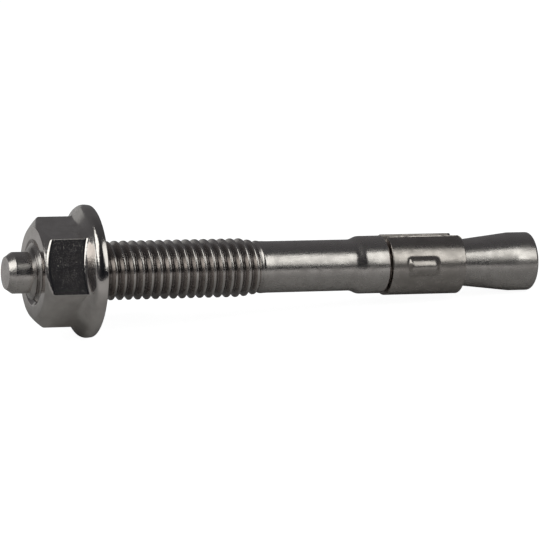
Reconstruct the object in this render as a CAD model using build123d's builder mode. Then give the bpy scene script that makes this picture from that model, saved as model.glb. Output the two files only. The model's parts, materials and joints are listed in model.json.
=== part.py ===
"""Wedge anchor, M8 by 75 mm, in stainless steel: an anchor bolt, an expansion clip and a flange nut.

The anchor lies as it comes to rest, on the rim of the nut's flange and the end of its cone, with the
nut towards -X and the origin on the ground under its middle. Stations are measured along its axis,
from the outer end of the bolt. Angles round the axis are measured from the -Y side, upwards.
"""

from build123d import *

import os
from math import asin, atan2, cos, hypot, radians, sin, sqrt, tan

# Anchor bolt: pilot stub, thread, shank, collar, neck and cone.
bolt_length = 75.0
stub_diameter = 5.5
stub_length = 3.0
stub_bevel = 0.62
stub_bevel_length = 0.9
thread_diameter = 7.9  # over the crests
thread_bevel = 45.0
run_out_length = 3.8
shank_diameter = 6.96
shank_length = 12.2
collar_step = 0.45
collar_slope = 25.0
collar_blend = 1.5
collar_length = 3.6
collar_bevel = 0.25
neck_diameter = 6.14
cone_diameter = 8.0
cone_slope = 6.6
cone_blend = 4.0
cone_land = 3.1
cone_round = 0.4

# Expansion clip: a strip rolled round the neck, open along a gap, with two nubs pressed out of it.
clip_length = 10.7
clip_sheet = 1.05
clip_clearance = 0.08  # round the neck
clip_to_collar = 0.25
clip_to_cone = 0.5
gap_angle = 46.0
gap_position = 99.5
gap_corner = 0.7
gap_collar_corner = 0.3
clip_edge_bevel = 0.12
nub_length = 4.6
nub_width = 2.7
nub_height = 0.5
nub_end_round = 0.6
nub_wall = 0.9
nub_offset = 0.9  # from the middle of the clip, towards the collar

# Flange nut: a hexagon on a round flange, threaded through.
nut_seat = 11.6  # station of its bearing face
nut_height = 7.85
hexagon_width = 12.75  # across the flats
hexagon_round = 0.5
hexagon_position = 21.0  # of the middle of one flat
nut_bevel = 33.0
nut_face_inset = 0.4
flange_reach = 1.55  # beyond the hexagon's corners
flange_slope = 17.0
flange_edge = 1.6
flange_round = 0.65
flange_bevel = 0.6
bore_clearance = 0.07  # over the thread's crests
countersink_width = 0.4

# Radii of the bolt, and its stations. The inner end has fixed lengths, and the thread takes the rest.
stub_radius = stub_diameter / 2
stub_face_radius = stub_radius - stub_bevel
thread_radius = thread_diameter / 2
shank_radius = shank_diameter / 2
collar_radius = shank_radius + collar_step
neck_radius = neck_diameter / 2
cone_radius = cone_diameter / 2
clip_bore_radius = neck_radius + clip_clearance
clip_radius = clip_bore_radius + clip_sheet

cone_end = bolt_length - cone_land
cone_start = cone_end - (cone_radius - neck_radius) / tan(radians(cone_slope))
clip_end = cone_start + clip_clearance / tan(radians(cone_slope)) - clip_to_cone
clip_start = clip_end - clip_length
collar_end = clip_start - clip_to_collar
collar_start = collar_end - collar_length
shank_end = collar_start - collar_step / tan(radians(collar_slope))
shank_start = shank_end - shank_length
thread_end = shank_start - run_out_length
thread_start = stub_length + (thread_radius - stub_radius) / tan(radians(thread_bevel))

nut_face = nut_seat - nut_height
nut_face_radius = hexagon_width / 2 - nut_face_inset
hexagon_radius = (hexagon_width / 2 - hexagon_round) / cos(radians(30)) + hexagon_round
flange_radius = hexagon_radius + flange_reach
flange_front = nut_seat - flange_edge
bearing_radius = flange_radius - flange_bevel
bore_radius = thread_radius + bore_clearance

# The resting pose: the ground touches the flange's rim, where its bevel begins, and the cone's round end.
rim_station = nut_seat - flange_bevel
tip_station = bolt_length - cone_round
tip_radius = cone_radius - cone_round
rest_tilt = atan2(flange_radius - tip_radius, tip_station - rim_station) - asin(
    cone_round / hypot(flange_radius - tip_radius, tip_station - rim_station)
)
axis_height = rim_station * sin(rest_tilt) + flange_radius * cos(rest_tilt)
outer_overhang = stub_face_radius * sin(rest_tilt)
inner_overhang = tip_station * cos(rest_tilt) + tip_radius * sin(rest_tilt) + cone_round
outer_end = Vector((outer_overhang - inner_overhang) / 2, 0, axis_height)
inward = Vector(cos(rest_tilt), 0, -sin(rest_tilt))
anchor_axis = Axis(outer_end, inward)
profile = Plane(outer_end, x_dir=inward, z_dir=(0, -1, 0))  # x is the station, y is the radius


def direction(angle):
    """The direction away from the axis at an angle round it."""
    return Vector(0, -1, 0).rotate(anchor_axis, -angle)


def across(station, angle):
    """The plane across the axis at a station, with its x at an angle round the axis."""
    return Plane(outer_end + inward * station, x_dir=direction(angle), z_dir=inward)


os.makedirs("parts", exist_ok=True)

# Anchor bolt, formed and turned in one piece. The third number rounds the corner of its outline.
outline = [
    (0, stub_face_radius, 0),
    (stub_bevel_length, stub_radius, 0),
    (stub_length, stub_radius, 0),
    (thread_start, thread_radius, 0),
    (thread_end, thread_radius, 0),
    (shank_start, shank_radius, 0),
    (shank_end, shank_radius, collar_blend),
    (collar_start, collar_radius, collar_blend),
    (collar_end - collar_bevel, collar_radius, 0),
    (collar_end, collar_radius - collar_bevel, 0),
    (collar_end, neck_radius, 0),
    (cone_start, neck_radius, cone_blend),
    (cone_end, cone_radius, cone_blend),
    (bolt_length, cone_radius, cone_round),
]
with BuildPart() as anchor_bolt:
    with BuildSketch(profile):
        with BuildLine():
            FilletPolyline(
                (0, 0),
                *[(station, radius) for station, radius, _ in outline],
                (bolt_length, 0),
                radius=[corner for _, _, corner in outline],
            )
            Line((bolt_length, 0), (0, 0))
        make_face()
    revolve(axis=anchor_axis)
anchor_bolt.part.label = "anchor_bolt"
export_step(anchor_bolt.part, "parts/anchor_bolt.step")

# Nub, a crowned bar with rounded ends, and the dent that its punch leaves inside the clip.
nub_position = gap_position - 90
nub_start = (clip_start + clip_end - nub_length) / 2 - nub_offset
nub_rise = clip_radius + nub_height - sqrt(clip_radius**2 - (nub_width / 2) ** 2)
nub_crown = (nub_rise**2 + (nub_width / 2) ** 2) / (2 * nub_rise)
nub_centre = clip_radius + nub_height - nub_crown
with BuildPart() as nub:
    with BuildSketch(across(nub_start, nub_position)):
        with Locations((nub_centre, 0)):
            Circle(nub_crown)
    extrude(amount=nub_length)
    fillet(edges().filter_by(GeomType.CIRCLE), nub_end_round)
    with BuildSketch(across(nub_start, nub_position)):
        Circle(clip_radius - clip_sheet / 2)
    extrude(amount=nub_length, mode=Mode.SUBTRACT)
with BuildPart() as dent:
    with BuildSketch(across(nub_start + nub_wall, nub_position)):
        with Locations((nub_centre, 0)):
            Circle(nub_crown - nub_wall)
    extrude(amount=nub_length - 2 * nub_wall)

# Expansion clip. The gap's sides are the two sheared ends of the strip, and one nub is on each side.
gap_reach = 2 * clip_radius
gap_rise = gap_reach * tan(radians(gap_angle / 2))
middle_plane = Plane(outer_end, x_dir=inward, z_dir=direction(nub_position))
with BuildPart() as expansion_clip:
    with BuildSketch(across(clip_start, gap_position)):
        Circle(clip_radius)
        Circle(clip_bore_radius, mode=Mode.SUBTRACT)
        with BuildLine():
            Polyline((0, 0), (gap_reach, gap_rise), (gap_reach, -gap_rise), close=True)
        make_face(mode=Mode.SUBTRACT)
    extrude(amount=clip_length)
    corners = edges().filter_by(GeomType.LINE).filter_by(anchor_axis, reverse=True)
    fillet(corners.group_by(anchor_axis)[0], gap_collar_corner)
    corners = edges().filter_by(GeomType.LINE).filter_by(anchor_axis, reverse=True)
    fillet(corners.group_by(anchor_axis)[-1], gap_corner)
    chamfer(faces().filter_by(GeomType.CYLINDER).sort_by(SortBy.AREA)[-1].edges(), clip_edge_bevel)
    add([nub.part, mirror(nub.part, about=middle_plane, mode=Mode.PRIVATE)])
    add([dent.part, mirror(dent.part, about=middle_plane, mode=Mode.PRIVATE)], mode=Mode.SUBTRACT)
expansion_clip.part.label = "expansion_clip"
export_step(expansion_clip.part, "parts/expansion_clip.step")

# Flange nut. The bevel is turned on the hexagon before the flange is added.
with BuildPart() as flange_nut:
    with BuildSketch(across(nut_face, hexagon_position)):
        RegularPolygon(hexagon_width / 2, side_count=6, major_radius=False, rotation=30)
        fillet(vertices(), hexagon_round)
    extrude(amount=flange_front - nut_face)
    with BuildSketch(profile):
        with BuildLine():
            bevel_length = (flange_radius - nut_face_radius) * tan(radians(nut_bevel))
            Polyline(
                (nut_face, 0),
                (nut_face, nut_face_radius),
                (nut_face + bevel_length, flange_radius),
                (flange_front, flange_radius),
                (flange_front, 0),
                close=True,
            )
        make_face()
    revolve(axis=anchor_axis, mode=Mode.INTERSECT)
    with BuildSketch(profile):
        with BuildLine():
            flange_root = flange_front - flange_radius * tan(radians(flange_slope))
            Polyline(
                (flange_root, 0),
                (flange_front, flange_radius),
                (nut_seat - flange_bevel, flange_radius),
                (nut_seat, bearing_radius),
                (nut_seat, 0),
                close=True,
            )
        make_face()
        fillet(vertices().group_by(Axis.Y)[-1].sort_by(Axis.X)[0], flange_round)
    revolve(axis=anchor_axis)
    with BuildSketch(profile):
        with BuildLine():
            Polyline(
                (nut_face, 0),
                (nut_face, bore_radius + countersink_width),
                (nut_face + countersink_width, bore_radius),
                (nut_seat - countersink_width, bore_radius),
                (nut_seat, bore_radius + countersink_width),
                (nut_seat, 0),
                close=True,
            )
        make_face()
    revolve(axis=anchor_axis, mode=Mode.SUBTRACT)
flange_nut.part.label = "flange_nut"
export_step(flange_nut.part, "parts/flange_nut.step")
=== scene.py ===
import json
from math import atan2, ceil, cos, pi, radians, sin, tan

import bpy
from mathutils import Matrix, Vector


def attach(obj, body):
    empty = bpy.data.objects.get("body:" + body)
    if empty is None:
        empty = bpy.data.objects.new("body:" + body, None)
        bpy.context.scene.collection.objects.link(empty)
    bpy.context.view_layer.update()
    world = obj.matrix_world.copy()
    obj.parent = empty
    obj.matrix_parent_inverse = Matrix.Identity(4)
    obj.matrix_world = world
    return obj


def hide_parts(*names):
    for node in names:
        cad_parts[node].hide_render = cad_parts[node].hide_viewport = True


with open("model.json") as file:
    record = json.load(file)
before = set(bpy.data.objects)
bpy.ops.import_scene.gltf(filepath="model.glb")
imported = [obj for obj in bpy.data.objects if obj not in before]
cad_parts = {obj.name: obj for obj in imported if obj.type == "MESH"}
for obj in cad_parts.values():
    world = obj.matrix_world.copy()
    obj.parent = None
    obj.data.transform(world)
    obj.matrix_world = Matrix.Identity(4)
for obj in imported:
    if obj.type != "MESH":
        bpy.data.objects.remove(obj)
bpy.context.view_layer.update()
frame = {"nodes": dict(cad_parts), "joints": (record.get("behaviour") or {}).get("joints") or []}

# ---------------------------------------------------------------------------------------------
# Bench: a broad pale table in a plain studio. It glows a little, so that it is white to the eye and
# pale in the steel, and it keeps the soft shadow of what lies on it. Near the anchor its glow in
# the steel fades out, a painted shade under the anchor.
table_white = (0.62, 0.62, 0.62, 1)
table_glow = 0.93  # to the eye
table_gleam = 0.21  # in the steel
table_reach = 3.0  # in metres, as all of the bench and the studio is
# Painted shade: the table's glow in the steel is cut back near the anchor.
painted_shade_reach = 0.045  # how far from the anchor its steel mirrors a shaded table


class Shade:
    """A socket of a material's node tree that takes part in arithmetic."""

    def __init__(self, tree, socket):
        self.tree = tree
        self.socket = socket

    def node(self, kind, settings=None, values=None, out=0):
        """Adds a node, sets it up, fills its sockets, and returns one of its outputs, if any."""
        made = self.tree.nodes.new(kind)
        for name, value in (settings or {}).items():
            setattr(made, name, value)
        for name, value in (values or {}).items():
            if isinstance(value, Shade):
                self.tree.links.new(value.socket, made.inputs[name])
            else:
                made.inputs[name].default_value = value
        return Shade(self.tree, made.outputs[out] if made.outputs else None)

    def math(self, operation, first, second=0.0):
        """Adds a Math node on two sockets or numbers."""
        return self.node("ShaderNodeMath", {"operation": operation}, {0: first, 1: second})

    def __add__(self, other):
        return self.math("ADD", self, other)

    def __radd__(self, other):
        return self.math("ADD", other, self)

    def __sub__(self, other):
        return self.math("SUBTRACT", self, other)

    def __rsub__(self, other):
        return self.math("SUBTRACT", other, self)

    def __mul__(self, other):
        return self.math("MULTIPLY", self, other)

    def __rmul__(self, other):
        return self.math("MULTIPLY", other, self)


def new_finish(name):
    """A material with an empty node tree, and where its nodes are added from."""
    finish = bpy.data.materials.new(name)
    finish.use_nodes = True
    finish.node_tree.nodes.clear()
    return finish, Shade(finish.node_tree, None)


table_finish, on_table = new_finish("table_white")
seen = on_table.node("ShaderNodeLightPath", out="Is Camera Ray")
mirrored = on_table.node("ShaderNodeLightPath", out="Is Glossy Ray")
through = on_table.node("ShaderNodeLightPath", out="Is Transmission Ray")
white = on_table.node("ShaderNodeBsdfDiffuse", values={"Color": table_white})
spot = on_table.node("ShaderNodeTexCoord", out="Object")
across = on_table.node("ShaderNodeSeparateXYZ", values={"Vector": spot}, out="Y")
# Painted shade: the table's glow seen in the steel fades out towards the anchor.
beyond_painted_shade = on_table.node(
    "ShaderNodeMapRange",
    {"interpolation_type": "SMOOTHSTEP"},
    {"Value": across.math("ABSOLUTE", across), "From Max": painted_shade_reach},
)
glow = on_table.node(
    "ShaderNodeEmission",
    values={"Strength": seen * table_glow + (mirrored + through) * beyond_painted_shade * table_gleam},
)
shown = on_table.node("ShaderNodeAddShader", values={0: white, 1: glow})
on_table.node("ShaderNodeOutputMaterial", values={"Surface": shown})

bpy.ops.mesh.primitive_plane_add(size=2 * table_reach, location=(0, 0, 0))
table = bpy.context.object
table.name = "table"
table.data.materials.append(table_finish)

# ---------------------------------------------------------------------------------------------
# Studio: a near softbox in front and to the right, a large one high on the left, a low strip on
# the left and a little behind, and a dim card at the back. The room is dim too, darkest in front,
# and white to the eye.
softboxes = {
    # name: (degrees round the anchor, degrees up, distance, width, height, brightness)
    "right_softbox": (-52, 36.5, 0.32, 0.14, 0.23, 1.48),
    "left_softbox": (-168, 40.5, 0.50, 0.31, 0.38, 1.79),
    "low_strip": (162.5, 12, 0.284, 0.065, 0.06, 1.5),
    "back_card": (107, 6, 0.60, 0.44, 0.14, 0.24),
}
softbox_white = (0.965, 1.0, 0.97)
for name, (around, up, distance, width, height, brightness) in softboxes.items():
    place = distance * Vector(
        (
            cos(radians(up)) * cos(radians(around)),
            cos(radians(up)) * sin(radians(around)),
            sin(radians(up)),
        )
    )
    bpy.ops.object.light_add(type="AREA", location=place)
    softbox = bpy.context.object
    softbox.name = name
    softbox.rotation_euler = place.to_track_quat("Z", "Y").to_euler()
    softbox.data.shape = "RECTANGLE"
    softbox.data.size = width
    softbox.data.size_y = height
    softbox.data.energy = brightness * pi * width * height  # at 1 it is seen as just white
    softbox.data.color = softbox_white


def mixed(share, tone, other_tone):
    """A colour from one tone to the other as a share goes from 0 to 1, by a Mix node's sockets."""
    return share.node(
        "ShaderNodeMix", {"data_type": "RGBA"}, {0: share, 6: tone, 7: other_tone}, out=2
    )


room_front = (0.007, 0.008, 0.011, 1)
room_back = (0.132, 0.134, 0.14, 1)
room_white = (1, 1, 1, 1)
room = bpy.data.worlds.new("room")
bpy.context.scene.world = room
room.use_nodes = True
in_room = Shade(room.node_tree, None)
towards = in_room.node("ShaderNodeTexCoord", out="Generated")
depth = in_room.node("ShaderNodeSeparateXYZ", values={"Vector": towards}, out="Y")
towards_back = depth * 0.5 + 0.5
walls = mixed(towards_back, room_front, room_back)
seen = in_room.node("ShaderNodeLightPath", out="Is Camera Ray")
walls = mixed(seen, walls, room_white)
room.node_tree.links.new(walls.socket, room.node_tree.nodes["Background"].inputs["Color"])

# Camera: a long lens, low in front of the anchor and towards its nut.
picture_width = 540
focal_length_in_pixels = 3645.156
sensor_width = 36.0
camera_place = Vector((-0.159596, -0.443716, 0.145086))
camera_around = -19.72403
camera_down = 16.39611
nearest_seen = 0.01
bpy.ops.object.camera_add(
    location=camera_place,
    rotation=(radians(90 - camera_down), 0, radians(camera_around)),
)
camera = bpy.context.object
camera.data.sensor_width = sensor_width
camera.data.lens = sensor_width * focal_length_in_pixels / picture_width
camera.data.clip_start = nearest_seen
bpy.context.scene.camera = camera
bpy.context.scene.view_settings.view_transform = "Standard"

# ---------------------------------------------------------------------------------------------
# Anchor bolt: one piece of stainless steel, cold formed from wire. Its cone, neck and collar are
# upset and turned, and its M8 thread is rolled into the blank, which leaves round crests. Its roots
# are coloured darker, a painted shade that deepens with the groove.
joint = frame["joints"][0]
inward = Vector(joint["axis"]).normalized()
on_axis = Vector(joint["pos_m"])
blank = frame["nodes"]["anchor_bolt"]
stations = [(vertex.co - on_axis).dot(inward) for vertex in blank.data.vertices]
outer_end = on_axis + inward * min(stations)
upright = Vector((0, 0, 1))
above = (upright - inward * inward.z).normalized()
beside = inward.cross(above)
# Pieces are made standing, outer end down, and then laid down along the axis.
lay_down = Matrix(
    (
        (above.x, beside.x, inward.x, outer_end.x),
        (above.y, beside.y, inward.y, outer_end.y),
        (above.z, beside.z, inward.z, outer_end.z),
        (0, 0, 0, 1),
    )
)

# Sizes are in millimetres, and stations are measured along the axis from the bolt's outer end.
mm = 0.001
slack = 0.01
weld_distance = 0.001
arc_step = radians(9)  # between the points of a round
bolt_facets = 124
bolt_sharp_edge = 50  # in degrees: what bends less is smooth
bolt_length = 75.0
stub_face_radius = 2.13
stub_bevel_end = 0.9
stub_bevel_round = 0.35
stub_radius = 2.75
stub_length = 3.0
shank_radius = 3.48
shank_start = 36.339
shank_end = 48.539
shank_rest = 2.0  # of the shank, left for the collar's blend
collar_start = 49.504
collar_blend = 1.5
collar_radius = 3.93
collar_end = 53.104
collar_bevel = 0.15
neck_radius = 3.07
cone_start = 63.862
cone_end = 71.9
cone_blend = 4.0
cone_radius = 4.0
cone_round = 0.4
cone_face_ring = 1.0
pitch = 1.25
flank_angle = 60
crest_radius = 3.95
crest_start = 3.75
crest_end = 32.539
crest_phase = 0.12  # the station at which a crest would pass straight above the axis
crest_width = 0.18
crest_blend = 0.08
thread_depth = 0.72
root_blend = 0.25
run_out_end = 35.4
run_out_blend = 0.25
thread_fade_end = 35.8
thread_fade = 2.0
thread_zone_end = shank_start + 0.3  # its rings go on a little way over the shank
thread_steps = 24  # rings for each turn of the thread


def deselect_all():
    """Leaves nothing selected, so that the next operator acts on its own piece alone."""
    if bpy.context.object and bpy.context.object.mode == "EDIT":
        bpy.ops.object.mode_set(mode="OBJECT")
    bpy.ops.object.select_all(action="DESELECT")


def softened(corners):
    """Rounds an outline's corners, each given as its station, radius and how large its round is."""
    points = [Vector(corner[:2]) for corner in corners]
    outline = []
    for place, (station, radius, corner_round) in enumerate(corners):
        if not corner_round:
            outline.append((station, radius))
            continue
        back = (points[place - 1] - points[place]).normalized()
        on = (points[place + 1] - points[place]).normalized()
        half = back.angle(on) / 2
        centre = points[place] + (back + on).normalized() * corner_round / sin(half)
        spoke = points[place] + back * corner_round / tan(half) - centre
        swept = (pi - 2 * half) * (1 if back.x * on.y - back.y * on.x < 0 else -1)
        steps = max(2, ceil(abs(swept) / arc_step))
        for step in range(steps + 1):
            turned = swept * step / steps
            outline.append(
                (
                    centre.x + spoke.x * cos(turned) - spoke.y * sin(turned),
                    centre.y + spoke.x * sin(turned) + spoke.y * cos(turned),
                )
            )
    return outline


def turned_piece(name, facets, outline, hollow=False):
    """Turns a piece standing up: a disc or ring, extruded and resized along its outline."""
    station, radius = outline[0]
    deselect_all()
    bpy.ops.mesh.primitive_circle_add(
        vertices=facets,
        radius=radius * mm,
        fill_type="NOTHING" if hollow else "NGON",
        location=(0, 0, station * mm),
    )
    piece = bpy.context.object
    piece.name = name
    bpy.ops.object.transform_apply(location=True)
    bpy.ops.object.mode_set(mode="EDIT")
    bpy.ops.mesh.select_all(action="SELECT")
    for next_station, next_radius in outline[1:]:
        bpy.ops.mesh.extrude_region_move(
            TRANSFORM_OT_translate={"value": (0, 0, (next_station - station) * mm)}
        )
        if next_radius != radius:
            grown = next_radius / radius
            bpy.ops.transform.resize(
                value=(grown, grown, 1), center_override=(0, 0, next_station * mm)
            )
        station, radius = next_station, next_radius
    bpy.ops.mesh.select_all(action="SELECT")
    if hollow:
        bpy.ops.mesh.remove_doubles(threshold=weld_distance * mm)
    bpy.ops.mesh.normals_make_consistent(inside=False)
    bpy.ops.object.mode_set(mode="OBJECT")
    return piece


def lay_piece_down(piece, sharp_edge):
    """Lays a standing piece down along the anchor's axis and smooths all but its sharp edges."""
    deselect_all()
    piece.select_set(True)
    bpy.context.view_layer.objects.active = piece
    piece.matrix_world = lay_down
    bpy.ops.object.transform_apply(location=True, rotation=True, scale=True)
    bpy.ops.object.shade_smooth_by_angle(angle=radians(sharp_edge))


def blended(first, second, blend):
    """The smaller of two lengths, or the larger with a blend below 0, joined by a smooth blend."""
    near = max(abs(blend) - abs(first - second), 0.0) / blend
    chosen = min(first, second) if blend > 0 else max(first, second)
    return chosen - near * near * blend / 4


def thread_dip(station, turn):
    """How deep the thread's groove is at a station and a turn from upright."""
    along = ((station - crest_phase) / pitch - turn / (2 * pi)) % 1.0
    from_crest = max(min(along, 1 - along) * pitch - crest_width / 2, 0.0)
    sunk = tan(radians(flank_angle)) * from_crest
    flank = (sunk**2 + crest_blend**2) ** 0.5 - crest_blend
    return blended(flank, thread_depth, root_blend)


def eased(value):
    """A smooth rise from 0 to 1."""
    value = min(max(value, 0.0), 1.0)
    return value * value * (3 - 2 * value)


rings = ceil((thread_zone_end - stub_length) * thread_steps / pitch)
outline = softened(
    [
        (0, stub_face_radius, 0),
        (stub_bevel_end, stub_radius, stub_bevel_round),
        (stub_length, stub_radius, 0),
    ]
)
for ring in range(1, rings + 1):
    station = stub_length + ring * (thread_zone_end - stub_length) / rings
    risen = (station - stub_length) / (crest_start - stub_length)
    fallen = (station - crest_end) / (run_out_end - crest_end)
    rise = stub_radius + risen * (crest_radius - stub_radius)
    fall = crest_radius - fallen * (crest_radius - shank_radius)
    fall = blended(fall, shank_radius, -run_out_blend)
    outline.append((station, min(crest_radius, rise, fall)))
outline += softened(
    [
        (shank_end - shank_rest, shank_radius, 0),
        (shank_end, shank_radius, collar_blend),
        (collar_start, collar_radius, collar_blend),
        (collar_end - collar_bevel, collar_radius, collar_bevel),
        (collar_end, collar_radius - collar_bevel, 0),
        (collar_end, neck_radius, 0),
        (cone_start, neck_radius, cone_blend),
        (cone_end, cone_radius, cone_blend),
        (bolt_length, cone_radius, cone_round),
        (bolt_length, cone_radius - cone_face_ring, 0),
    ]
)
bolt = turned_piece("threaded_bolt", bolt_facets, outline)

# The thread is rolled in: each point goes down into the groove, which fades out towards the shank.
painted_root_shade = bolt.data.attributes.new("painted_root_shade", "FLOAT", "POINT")
for place, vertex in enumerate(bolt.data.vertices):
    station = vertex.co.z / mm
    if not stub_length - slack < station < thread_zone_end:
        continue
    radius = vertex.co.xy.length / mm
    dip = thread_dip(station, atan2(vertex.co.y, vertex.co.x))
    dip *= eased((thread_fade_end - station) / thread_fade)
    # The deeper a point lies in the groove, the more painted shade its colour gets.
    painted_root_shade.data[place].value = (dip / thread_depth) ** 2
    crest = crest_radius if station < crest_end else radius
    shrunk = min(crest - dip, radius) / radius
    vertex.co.x *= shrunk
    vertex.co.y *= shrunk

lay_piece_down(bolt, bolt_sharp_edge)

bright_tone = (0.68, 0.632, 0.605, 1)
bright_stain = (0.56, 0.515, 0.49, 1)
# Painted shade in the thread's roots.
painted_shade_tone = (0.28, 0.253, 0.243, 1)
# Noise over the steel: how many patches to a metre, and how many finer layers lie on them.
marks_noise = (1.0, 3.0)  # on places that the marks' own scale has stretched
cloud_noise = (650.0, 5.0)
speck_noise = (3200.0, 2.0)
grain_noise = (5000.0, 1.0)
middle = 0.5  # of a noise
cloud_contrast = 2.5
grain_floor = 0.52
relief_height = 0.00001  # in metres
marks_in_gloss = 0.5
clouds_in_gloss = 0.35


def noise(places, scale, detail):
    """Noise over places, from 0 to 1."""
    return places.node(
        "ShaderNodeTexNoise", values={"Vector": places, "Scale": scale, "Detail": detail}
    )


def steel(name, tones, roughness, marks_scale, marks, speckle, specks=0.0, root_shade_tone=None):
    """Stainless steel: tool marks over a speckle and cloudy patches, in its gloss and relief."""
    finish, on_steel = new_finish(name)
    place = on_steel.node("ShaderNodeTexCoord", out="Object")
    drawn = on_steel.node("ShaderNodeMapping", values={"Vector": place, "Scale": marks_scale})
    drawn = noise(drawn, *marks_noise)
    patch = (noise(place, *cloud_noise) - middle) * cloud_contrast + middle
    speck = noise(place, *speck_noise)
    grain = noise(place, *grain_noise) - grain_floor
    grain = grain.math("MAXIMUM", grain, 0.0)
    relief = drawn * marks + speck * speckle + grain * specks
    bump = on_steel.node(
        "ShaderNodeBump", values={"Height": relief, "Strength": 1.0, "Distance": relief_height}
    )
    colour = mixed(patch, *tones)
    # Painted shade in the thread's roots, by the piece's own attribute.
    if root_shade_tone:
        painted_root_shade = on_steel.node("ShaderNodeAttribute", {"attribute_name": "painted_root_shade"}, out="Fac")
        colour = mixed(painted_root_shade, colour, root_shade_tone)
    uneven = (drawn - middle) * marks_in_gloss + (patch - middle) * clouds_in_gloss
    surface = on_steel.node(
        "ShaderNodeBsdfPrincipled",
        values={
            "Base Color": colour,
            "Metallic": 1.0,
            "Roughness": (uneven + 1.0) * roughness,
            "Normal": bump,
        },
    )
    on_steel.node("ShaderNodeOutputMaterial", values={"Surface": surface})
    return finish


satin_steel = steel(
    "satin_steel",
    (bright_tone, bright_stain),
    roughness=0.27,
    marks_scale=(900, 6000, 6000),
    marks=0.7,
    speckle=0.25,
    root_shade_tone=painted_shade_tone,
)
rolled_steel = steel(
    "rolled_steel",
    (bright_tone, bright_stain),
    roughness=0.24,
    marks_scale=(2500, 2500, 2500),
    marks=0.08,
    speckle=0.04,
    root_shade_tone=painted_shade_tone,
)
bolt.data.materials.append(satin_steel)
bolt.data.materials.append(rolled_steel)
thread_finish = bolt.data.materials.find(rolled_steel.name)
for face in bolt.data.polygons:
    along = (face.center - outer_end).dot(inward) / mm
    if stub_length < along < shank_start:
        face.material_index = thread_finish
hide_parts("anchor_bolt")
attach(bolt, "bolt")

# ---------------------------------------------------------------------------------------------
# Expansion clip: a strip of stainless sheet, sheared off, with two nubs pressed out of it, and then
# rolled round the bolt's neck. The shears left one end leaning and a ragged burr on the other.
dull_tone = (0.54, 0.49, 0.46, 1)
dull_stain = (0.42, 0.38, 0.355, 1)
clip_start = 53.354
clip_end = 64.054
clip_length = clip_end - clip_start
clip_bore = 3.15
clip_sheet = 1.05
clip_radius = clip_bore + clip_sheet
clip_sharp_edge = 40
blank_thickness = 1  # of a blank 2 by 2, whose points then get their places one by one
blank_columns = 240
blank_rows = 76
gap_angle = 46.0
gap_position = 99.5
gap_corner = 0.7
gap_collar_corner = 0.15
half_turn = radians(180 - gap_angle / 2)
middle_turn = radians(90 - gap_position) - pi  # of the strip's middle, from upright towards -Y
side_round = 0.1
shear_round = 0.1
shear_lean = 0.3
burr = 0.13
burr_waver = 0.25
burr_waves = (23, 7.1)
nub_length = 4.6
nub_width = 2.7
nub_height = 0.6
nub_offset = 0.9
nub_foot = 0.32  # how softly its sides rise
nub_collar_end = (0.05, 0.5)  # how far outside its length it starts, and how long it rises
nub_cone_end = (0.15, 0.95)


def gathered_to_edges(place):
    """Moves an even spread of places from -1 to 1 towards both ends."""
    return place * (1.5 - 0.5 * place**2)


def rounded_off(edge_round, from_edge):
    """How far the round at an edge takes a face down."""
    return edge_round - (edge_round**2 - max(edge_round - from_edge, 0.0) ** 2) ** 0.5


deselect_all()
bpy.ops.mesh.primitive_grid_add(
    x_subdivisions=blank_columns, y_subdivisions=blank_rows, size=2, location=(0, 0, 0)
)
clip = bpy.context.object
clip.name = "rolled_clip"
bpy.ops.object.mode_set(mode="EDIT")
bpy.ops.mesh.select_all(action="SELECT")
bpy.ops.mesh.extrude_region_move(TRANSFORM_OT_translate={"value": (0, 0, blank_thickness)})
bpy.ops.mesh.select_all(action="SELECT")
bpy.ops.mesh.normals_make_consistent(inside=False)
bpy.ops.object.mode_set(mode="OBJECT")
for vertex in clip.data.vertices:
    # The strip, flat: its points gather towards its edges, and its corners are rounded.
    outer = vertex.co.z > blank_thickness / 2
    across = gathered_to_edges(vertex.co.x)
    along = clip_length * (1 + gathered_to_edges(vertex.co.y)) / 2
    from_side = min(along, clip_length - along)
    short = max(
        rounded_off(gap_collar_corner, along),
        rounded_off(gap_corner, clip_length - along),
    )
    reach = half_turn - short / clip_radius
    if across > 0:
        reach += (shear_lean if outer else -shear_lean) / clip_radius
    turn = across * reach
    # Its nubs, pressed up through the whole sheet.
    from_nub = abs(abs(turn) - pi / 2) * clip_radius
    from_middle = along - (clip_length / 2 - nub_offset)
    press = blended(1 - (2 * from_nub / nub_width) ** 2, 0.0, -nub_foot)
    for inside, (overrun, rise) in (
        (nub_length / 2 + from_middle, nub_collar_end),
        (nub_length / 2 - from_middle, nub_cone_end),
    ):
        press *= eased((inside + overrun) / rise)
    height = nub_height * press
    # Its outer face, rounded down to its edges, and raised in a burr where the shears left it.
    if outer:
        from_end = max(reach - abs(turn), 0.0) * clip_radius
        height += clip_sheet - rounded_off(side_round, from_side)
        if turn > 0:
            height -= rounded_off(shear_round, from_end)
        if turn < 0:
            waver = burr_waver * sin(burr_waves[0] * along) * sin(burr_waves[1] * along)
            height += burr * (1 - burr_waver + waver) * max(1 - from_end / burr, 0.0)
    # Rolled round the neck.
    angle = middle_turn + turn
    radius = clip_bore + height
    vertex.co = (radius * cos(angle) * mm, radius * sin(angle) * mm, (clip_start + along) * mm)

lay_piece_down(clip, clip_sharp_edge)
strip_steel = steel(
    "strip_steel",
    (dull_tone, dull_stain),
    roughness=0.29,
    marks_scale=(1000, 4000, 4000),
    marks=0.5,
    speckle=0.3,
)
clip.data.materials.append(strip_steel)
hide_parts("expansion_clip")
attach(clip, "clip")

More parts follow.
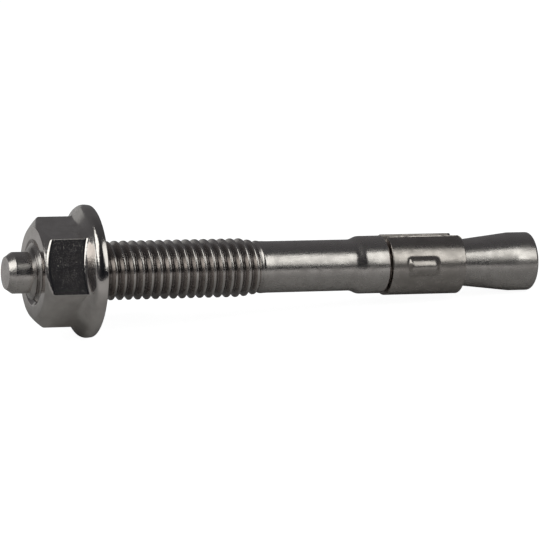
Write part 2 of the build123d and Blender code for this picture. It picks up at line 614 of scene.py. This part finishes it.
# ---------------------------------------------------------------------------------------------
# Flange nut: stainless steel, cold formed, its hexagon and flange in one, its edges worn soft.
# It is bright, and its flats keep the fine speckle of the die.
nut_face = 3.75
nut_seat = 11.6
nut_facets = 300
nut_sharp_edge = 30
nut_face_radius = 5.975
face_edge_round = 0.12
nut_bevel = 33.0
flats_start = nut_face + 0.1  # here the hexagon's pressing starts
bevel_end = 5.1
bevel_rings = 26
bevel_blend = 0.45
flat_radius = 6.375
flat_rings = 5
sides = 6
half_side = pi / sides
hexagon_round = 0.08
hexagon_position = 21.0
corner_reach = (flat_radius - hexagon_round) / cos(half_side)
corner_turn = atan2(corner_reach * sin(half_side), flat_radius)
corner_gather = 0.8  # how much nearer to the corners its points are
first_corner = radians(90 - hexagon_position) + half_side
slope_start = 8.65
slope_end = 9.9
slope_rings = 28
flange_front = 10.25
flange_radius = 8.828
flange_slope = 27.0
flange_round = 1.0
flange_blend = 0.6
rim_end = 11.0
rim_round = 2.5
rim_foot = (0.1, 0.054, 0.15)  # how far from the seat, how far in, and its round
seat_edge = (0.3, 0.1)  # how far in, and its round
bore_radius = 4.02
bore_edge_round = 0.12
bore_steps = 12  # rings for each turn of the thread
countersink_width = 0.4
bore_length = nut_seat - nut_face - 2 * countersink_width


def bevel(station):
    """The radius of the bevel that is turned on the hexagon."""
    return nut_face_radius + (station - nut_face) / tan(radians(nut_bevel))


def slope(station):
    """The radius of the flange's sloping face."""
    return flange_radius - (flange_front - station) / tan(radians(flange_slope))


def hexagon(from_corner):
    """The radius of the hexagon with rounded corners, at an angle from one of them."""
    flat = flat_radius / cos(half_side - abs(from_corner))
    inside = hexagon_round**2 - (corner_reach * sin(from_corner)) ** 2
    on_flat = half_side - abs(from_corner) < corner_turn
    if inside < 0 or on_flat:
        return flat
    return corner_reach * cos(from_corner) + inside**0.5


outline = softened(
    [
        (nut_face + countersink_width, bore_radius, 0),
        (nut_face, bore_radius + countersink_width, bore_edge_round),
        (nut_face, nut_face_radius, face_edge_round),
        (flats_start, bevel(flats_start), 0),
    ]
)
for first, last, steps in (
    (flats_start, bevel_end, bevel_rings),
    (bevel_end, slope_start, flat_rings),
    (slope_start, slope_end, slope_rings),
):
    for step in range(1, steps + 1):
        outline.append((first + (last - first) * step / steps, flange_radius))
outline += softened(
    [
        (slope_end, slope(slope_end), 0),
        (flange_front, flange_radius, flange_round),
        (rim_end, flange_radius, rim_round),
        (nut_seat - rim_foot[0], flange_radius - rim_foot[1], rim_foot[2]),
        (nut_seat, flange_radius - seat_edge[0], seat_edge[1]),
        (nut_seat, bore_radius + countersink_width, bore_edge_round),
        (nut_seat - countersink_width, bore_radius, 0),
    ]
)[1:]
bore_rings = ceil(bore_length * bore_steps / pitch)
for ring in range(1, bore_rings + 1):
    outline.append((nut_seat - countersink_width - bore_length * ring / bore_rings, bore_radius))
nut = turned_piece("polished_nut", nut_facets, outline, hollow=True)

# The turned blank is pressed to its hexagon, and the hexagon runs softly into the flange.
for vertex in nut.data.vertices:
    station = vertex.co.z / mm
    radius = vertex.co.xy.length / mm
    turn = atan2(vertex.co.y, vertex.co.x)
    from_corner = (turn - first_corner + half_side) % (2 * half_side) - half_side
    gathered = from_corner - corner_gather / sides * sin(sides * from_corner)
    turn += gathered - from_corner
    if flats_start < station < slope_end + slack and radius > nut_face_radius:
        radius = blended(hexagon(gathered), bevel(station), bevel_blend)
        radius = blended(radius, slope(station), -flange_blend)
    # Its own thread fills the bolt's groove, with play all round.
    if radius < bore_radius + countersink_width + slack:
        thread = bore_radius - thread_dip(station, turn)
        from_end = min(station - nut_face, nut_seat - station)
        radius = min(radius, max(thread, bore_radius + countersink_width - from_end))
    vertex.co.x = radius * cos(turn) * mm
    vertex.co.y = radius * sin(turn) * mm

lay_piece_down(nut, nut_sharp_edge)
polished_steel = steel(
    "polished_steel",
    (bright_tone, bright_stain),
    roughness=0.14,
    marks_scale=(1500, 1500, 1500),
    marks=0.3,
    speckle=0.2,
    specks=1.7,
)
nut.data.materials.append(polished_steel)
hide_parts("flange_nut")
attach(nut, "nut")
